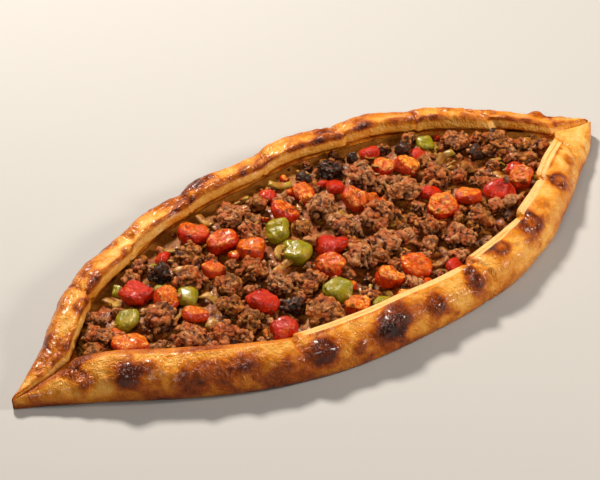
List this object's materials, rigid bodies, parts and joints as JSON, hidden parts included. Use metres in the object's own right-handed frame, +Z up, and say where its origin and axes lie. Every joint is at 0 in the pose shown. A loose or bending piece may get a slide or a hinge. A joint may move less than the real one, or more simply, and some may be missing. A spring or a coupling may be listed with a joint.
{
  "type": "turkish pide",
  "caption": "Boat-shaped flatbread with a folded, browned rim that ends in two tips, filled with lumps of browned minced meat, diced tomato and green pepper.",
  "frame": {"origin": "centre of the bread's footprint, on the surface that it rests on", "axes": "+X along the bread towards its blunter tip, +Y across it towards the side whose flap lies further over, +Z up"},
  "size_m": [0.3598, 0.1588, 0.021],
  "materials": {
    "crust": "egg-washed baked dough, pale gold to dark brown, semi-gloss",
    "filling_bed": "moist, oily minced filling",
    "meat": "crumbly browned meat, slightly greasy",
    "red_tomato": "wet, glossy, slightly charred",
    "orange_tomato": "wet, glossy",
    "green_pepper": "wet, glossy",
    "charred_bit": "charred, dull"
  },
  "bodies": {
    "root": {"charred_bit_01": "charred_bit", "charred_bit_02": "charred_bit", "charred_bit_03": "charred_bit", "crust": "crust", "filling_bed": "filling_bed", "green_pepper_01": "green_pepper", "green_pepper_02": "green_pepper", "green_pepper_03": "green_pepper", "green_pepper_04": "green_pepper", "meat_01": "meat", "meat_02": "meat", "meat_03": "meat", "meat_04": "meat", "meat_05": "meat", "meat_06": "meat", "meat_07": "meat", "meat_08": "meat", "meat_09": "meat", "meat_10": "meat", "meat_11": "meat", "meat_12": "meat", "meat_13": "meat", "meat_14": "meat", "meat_15": "meat", "meat_16": "meat", "meat_17": "meat", "meat_18": "meat", "meat_19": "meat", "meat_20": "meat", "meat_21": "meat", "meat_22": "meat", "meat_23": "meat", "meat_24": "meat", "meat_25": "meat", "meat_26": "meat", "meat_27": "meat", "meat_28": "meat", "orange_tomato_01": "orange_tomato", "orange_tomato_02": "orange_tomato", "orange_tomato_03": "orange_tomato", "orange_tomato_04": "orange_tomato", "orange_tomato_05": "orange_tomato", "orange_tomato_06": "orange_tomato", "orange_tomato_07": "orange_tomato", "orange_tomato_08": "orange_tomato", "orange_tomato_09": "orange_tomato", "orange_tomato_10": "orange_tomato", "orange_tomato_11": "orange_tomato", "red_tomato_01": "red_tomato", "red_tomato_02": "red_tomato", "red_tomato_03": "red_tomato", "red_tomato_04": "red_tomato", "red_tomato_05": "red_tomato", "red_tomato_06": "red_tomato", "red_tomato_07": "red_tomato", "red_tomato_08": "red_tomato", "red_tomato_09": "red_tomato"}
  },
  "joints": []
}
